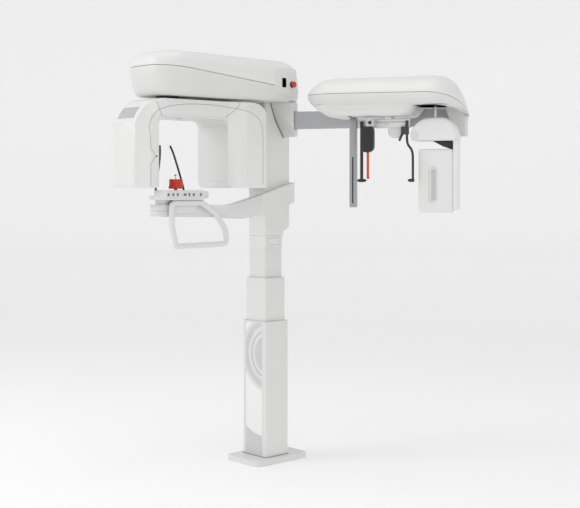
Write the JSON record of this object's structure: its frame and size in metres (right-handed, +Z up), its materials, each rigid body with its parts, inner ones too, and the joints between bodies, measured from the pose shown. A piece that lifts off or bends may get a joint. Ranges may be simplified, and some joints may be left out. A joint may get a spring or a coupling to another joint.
{
  "type": "panoramic x-ray machine",
  "caption": "Dental panoramic x-ray machine on a telescopic floor column, with a rotating arm, chin support, control panel and a side arm for cephalometric pictures.",
  "frame": {"origin": "on the floor, on the centre line of the column, at the centre of the floor bolts", "axes": "+X to the right of the machine as seen by someone who stands behind it and looks along the rotating arm, +Y to the back, +Z up; the rotating arm reaches towards -Y and the ceph arm towards +X"},
  "size_m": [1.284, 1.4083, 2.068],
  "materials": {
    "white_gloss": "satin moulded ABS cover",
    "white_paint": "powder coated",
    "grey_panel": "matt decor panel",
    "silver_paint": "anodised aluminium",
    "black_plastic": "moulded nylon",
    "red_plastic": "moulded silicone and ABS",
    "red_button": "moulded button",
    "steel": "machined",
    "dark_steel": "black oxide",
    "key_grey": "moulded key"
  },
  "bodies": {
    "base": {"base_plate": "dark_steel", "base_cover": "white_gloss", "column_outer": "white_paint", "column_front_panel": "grey_panel", "glide_pads_lower": "grey_panel", "lift_spindle_lower": "steel"},
    "mid_stage": {"column_mid": "white_paint", "glide_pads_upper": "grey_panel", "lift_motor_lower": "dark_steel", "lift_spindle_upper": "steel"},
    "carriage": {"column_inner": "white_paint", "column_collar": "white_gloss", "lift_motor_upper": "dark_steel", "carriage_frame": "dark_steel", "carriage_shell": "white_gloss", "overhead_frame": "dark_steel", "overhead_lower_shell": "white_gloss", "overhead_top_cover": "white_gloss", "gantry_rails": "steel", "chin_arm": "white_paint", "panel_housing": "white_gloss", "hand_grip": "white_gloss", "ceph_bracket": "white_gloss", "ceph_bar": "silver_paint", "ceph_lower_shell": "white_gloss", "ceph_top_cover": "white_gloss"},
    "gantry": {"gantry_carriage": "dark_steel", "rotation_bearing": "steel"},
    "rotating_arm": {"arm_frame": "dark_steel", "detector_leg_shell": "white_gloss", "arm_inner_liner": "white_gloss", "bridge_cover": "white_gloss", "source_leg_shell": "white_gloss", "source_leg_rear_cover": "white_gloss", "flat_panel_detector": "black_plastic", "xray_tube_head": "dark_steel", "beam_collimator": "dark_steel"},
    "temple_knob": {"temple_knob": "white_gloss"},
    "temple_front": {"temple_rod_front": "black_plastic"},
    "temple_back": {"temple_rod_back": "black_plastic"},
    "chin_rest": {"chin_rest": "red_plastic", "bite_rod": "steel"},
    "power_switch": {"power_switch": "black_plastic"},
    "stop_button": {"stop_button": "red_button"},
    "ceph_collimator": {"ceph_collimator": "silver_paint"},
    "head_positioner": {"head_positioner": "grey_panel", "nasion_holder": "black_plastic"},
    "ear_left": {"ear_arm_left": "black_plastic"},
    "ear_right": {"ear_arm_right": "black_plastic"},
    "nasion": {"nasion_rod": "red_plastic"},
    "ceph_sensor": {"sensor_carriage": "steel", "sensor_arm": "white_gloss", "sensor_cassette": "white_gloss"},
    "key_1": {"key_1": "key_grey"},
    "key_2": {"key_2": "key_grey"},
    "key_3": {"key_3": "key_grey"},
    "key_4": {"key_4": "key_grey"},
    "key_5": {"key_5": "key_grey"},
    "key_6": {"key_6": "key_grey"},
    "key_7": {"key_7": "key_grey"}
  },
  "joints": [
    {"name": "column_lift", "type": "slide", "parent": "base", "child": "mid_stage", "axis": [0, 0, 1], "range_m": [-0.15, 0.18]},
    {"name": "upper_lift", "type": "slide", "parent": "mid_stage", "child": "carriage", "axis": [0, 0, 1], "range_m": [-0.15, 0.18]},
    {"name": "gantry_shift", "type": "slide", "parent": "carriage", "child": "gantry", "axis": [0, 1, 0], "range_m": [-0.02, 0.015]},
    {"name": "arm_rotation", "type": "hinge", "parent": "gantry", "child": "rotating_arm", "pos_m": [0, -0.64, 1.85], "axis": [0, 0, 1], "range_deg": [-25, 205]},
    {"name": "temple_knob_turn", "type": "hinge", "parent": "carriage", "child": "temple_knob", "pos_m": [0.096, -0.512, 1.378], "axis": [0, 1, 0], "range_deg": [0, 90]},
    {"name": "temple_front_open", "type": "slide", "parent": "carriage", "child": "temple_front", "axis": [0, -1, 0], "range_m": [0, 0.01]},
    {"name": "temple_back_open", "type": "slide", "parent": "carriage", "child": "temple_back", "axis": [0, 1, 0], "range_m": [0, 0.01]},
    {"name": "chin_rest_height", "type": "slide", "parent": "carriage", "child": "chin_rest", "axis": [0, 0, 1], "range_m": [0, 0.02]},
    {"name": "power_switch_rock", "type": "hinge", "parent": "carriage", "child": "power_switch", "pos_m": [0.187, -0.052, 1.943], "axis": [0, 1, 0], "range_deg": [-8, 8]},
    {"name": "stop_button_press", "type": "slide", "parent": "carriage", "child": "stop_button", "axis": [-1, 0, 0], "range_m": [0, 0.005], "stiffness_N_per_m": 800, "springref_m": -0.001},
    {"name": "key_1_press", "type": "slide", "parent": "carriage", "child": "key_1", "axis": [-1, 0, 0], "range_m": [0, 0.001], "stiffness_N_per_m": 600, "springref_m": -0.0005},
    {"name": "key_2_press", "type": "slide", "parent": "carriage", "child": "key_2", "axis": [-1, 0, 0], "range_m": [0, 0.001], "stiffness_N_per_m": 600, "springref_m": -0.0005},
    {"name": "key_3_press", "type": "slide", "parent": "carriage", "child": "key_3", "axis": [-1, 0, 0], "range_m": [0, 0.001], "stiffness_N_per_m": 600, "springref_m": -0.0005},
    {"name": "key_4_press", "type": "slide", "parent": "carriage", "child": "key_4", "axis": [-1, 0, 0], "range_m": [0, 0.001], "stiffness_N_per_m": 600, "springref_m": -0.0005},
    {"name": "key_5_press", "type": "slide", "parent": "carriage", "child": "key_5", "axis": [-1, 0, 0], "range_m": [0, 0.001], "stiffness_N_per_m": 600, "springref_m": -0.0005},
    {"name": "key_6_press", "type": "slide", "parent": "carriage", "child": "key_6", "axis": [-1, 0, 0], "range_m": [0, 0.001], "stiffness_N_per_m": 600, "springref_m": -0.0005},
    {"name": "key_7_press", "type": "slide", "parent": "carriage", "child": "key_7", "axis": [-1, 0, 0], "range_m": [0, 0.001], "stiffness_N_per_m": 600, "springref_m": -0.0005},
    {"name": "collimator_scan", "type": "slide", "parent": "carriage", "child": "ceph_collimator", "axis": [0.454, -0.891, 0], "range_m": [-0.0525, 0.0525]},
    {"name": "sensor_scan", "type": "slide", "parent": "carriage", "child": "ceph_sensor", "axis": [0.454, -0.891, 0], "range_m": [-0.07, 0.07]},
    {"name": "positioner_turn", "type": "hinge", "parent": "carriage", "child": "head_positioner", "pos_m": [0.74423, 0.12115, 1.74], "axis": [0, 0, 1], "range_deg": [-90, 90]},
    {"name": "ear_left_close", "type": "slide", "parent": "head_positioner", "child": "ear_left", "axis": [0.891, 0.454, 0], "range_m": [0, 0.05]},
    {"name": "ear_right_close", "type": "slide", "parent": "head_positioner", "child": "ear_right", "axis": [-0.891, -0.454, 0], "range_m": [0, 0.05]},
    {"name": "nasion_height", "type": "slide", "parent": "head_positioner", "child": "nasion", "axis": [0, 0, 1], "range_m": [-0.02, 0.03]}
  ],
  "couplings": [
    {"joint": "upper_lift", "follows": "column_lift", "ratio": 1},
    {"joint": "temple_knob_turn", "follows": "temple_back_open", "rad_per_m": 150},
    {"joint": "temple_front_open", "follows": "temple_back_open", "ratio": 1},
    {"joint": "collimator_scan", "follows": "sensor_scan", "ratio": 0.75},
    {"joint": "ear_right_close", "follows": "ear_left_close", "ratio": 1}
  ]
}
